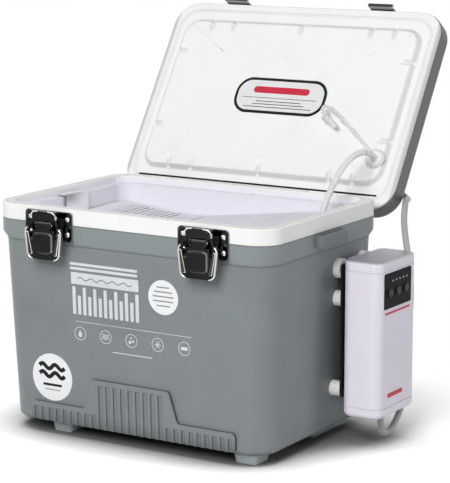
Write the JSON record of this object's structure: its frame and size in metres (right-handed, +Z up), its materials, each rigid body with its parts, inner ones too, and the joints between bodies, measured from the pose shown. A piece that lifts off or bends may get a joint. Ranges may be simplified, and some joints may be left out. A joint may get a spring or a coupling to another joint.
{
  "type": "aerated live-bait cooler",
  "caption": "Rectangular insulated live-bait cooler with hinged lid, stainless draw latches, lift-out slotted tray and a clip-on battery air pump with hose and air stone.",
  "frame": {"origin": "centre of the box's underside, between its feet", "axes": "+X along the front towards the pump, +Z up, front face towards -Y"},
  "size_m": [0.3703, 0.3733, 0.4021],
  "materials": {
    "grey_shell": "satin moulded plastic",
    "white_liner": "smooth white plastic",
    "foam": "rigid foam",
    "skid_grey": "fluted moulded plastic",
    "grip_grey": "satin moulded plastic",
    "hinge_plastic": "glass-filled plastic",
    "stainless": "polished stainless sheet",
    "gasket_rubber": "soft white rubber",
    "black_rubber": "black rubber",
    "clear_rubber": "translucent silicone",
    "tray_plastic": "moulded plastic",
    "pump_white": "satin moulded plastic, faintly lilac",
    "panel_black": "gloss black",
    "button_black": "soft-touch black",
    "light_lens": "clear tinted",
    "board": "fibreglass board",
    "cell": "shrink-wrapped cell",
    "motor_steel": "plated steel",
    "hanger_black": "moulded plastic",
    "white_rubber": "white rubber",
    "stone": "bonded grit",
    "hose": "translucent silicone hose"
  },
  "bodies": {
    "box": {"outer_shell": "grey_shell", "inner_liner": "white_liner", "foam_core": "foam", "skid_plate": "skid_grey", "side_grip_left": "grip_grey", "side_grip_right": "grip_grey", "hinge_brackets": "hinge_plastic", "hinge_pins": "stainless", "latch_plate_left": "stainless", "latch_plate_right": "stainless", "lever_pins": "stainless", "latch_rivets": "stainless", "pump_hanger": "hanger_black", "hanger_bumpers": "white_rubber", "air_stone": "stone", "hose_outer": "hose", "hose_inner": "hose"},
    "lid": {"lid_shell": "grey_shell", "lid_liner": "white_liner", "lid_gasket": "gasket_rubber", "lid_foam": "foam", "hose_grommet": "black_rubber", "vent_plug": "clear_rubber", "hinge_knuckles": "hinge_plastic", "lid_keeper_left": "stainless", "lid_keeper_right": "stainless"},
    "lever_left": {"latch_lever_left": "stainless", "claw_pin_left": "stainless"},
    "lever_right": {"latch_lever_right": "stainless", "claw_pin_right": "stainless"},
    "claw_left": {"latch_claw_left": "stainless"},
    "claw_right": {"latch_claw_right": "stainless"},
    "tray": {"bait_tray": "tray_plastic"},
    "pump": {"pump_housing": "pump_white", "pump_cap_top": "pump_white", "pump_cap_bottom": "pump_white", "pump_panel": "panel_black", "pump_lights": "light_lens", "pump_board": "board", "pump_battery": "cell", "pump_motor": "motor_steel", "pump_clip": "pump_white"},
    "button_low": {"button_low": "button_black"},
    "button_steady": {"button_steady": "button_black"},
    "button_pulse": {"button_pulse": "button_black"}
  },
  "joints": [
    {"name": "lid_swing", "type": "hinge", "parent": "box", "child": "lid", "pos_m": [0, 0.1075, 0.2063], "axis": [1, 0, 0], "range_deg": [0, 122.8], "deforming": ["hose_outer", "hose_inner"]},
    {"name": "lever_swing_left", "type": "hinge", "parent": "box", "child": "lever_left", "pos_m": [-0.0865, -0.1165, 0.198], "axis": [-1, 0, 0], "range_deg": [0, 100]},
    {"name": "claw_swing_left", "type": "hinge", "parent": "lever_left", "child": "claw_left", "pos_m": [-0.0865, -0.113, 0.188], "axis": [-1, 0, 0], "range_deg": [-100, 0]},
    {"name": "lever_swing_right", "type": "hinge", "parent": "box", "child": "lever_right", "pos_m": [0.0865, -0.1165, 0.198], "axis": [-1, 0, 0], "range_deg": [0, 100]},
    {"name": "claw_swing_right", "type": "hinge", "parent": "lever_right", "child": "claw_right", "pos_m": [0.0865, -0.113, 0.188], "axis": [-1, 0, 0], "range_deg": [-100, 0]},
    {"name": "tray_lift", "type": "slide", "parent": "box", "child": "tray", "axis": [0, 0, 1], "range_m": [0, 0.15]},
    {"name": "pump_lift", "type": "slide", "parent": "box", "child": "pump", "axis": [0, 0, 1], "range_m": [0, 0.03], "deforming": ["hose_outer"]},
    {"name": "press_low", "type": "slide", "parent": "pump", "child": "button_low", "axis": [-1, 0, 0], "range_m": [0, 0.0008], "stiffness_N_per_m": 400, "springref_m": -0.0005},
    {"name": "press_steady", "type": "slide", "parent": "pump", "child": "button_steady", "axis": [-1, 0, 0], "range_m": [0, 0.0008], "stiffness_N_per_m": 400, "springref_m": -0.0005},
    {"name": "press_pulse", "type": "slide", "parent": "pump", "child": "button_pulse", "axis": [-1, 0, 0], "range_m": [0, 0.0008], "stiffness_N_per_m": 400, "springref_m": -0.0005}
  ],
  "couplings": [
    {"joint": "claw_swing_left", "follows": "lever_swing_left", "ratio": -1},
    {"joint": "claw_swing_right", "follows": "lever_swing_right", "ratio": -1}
  ]
}
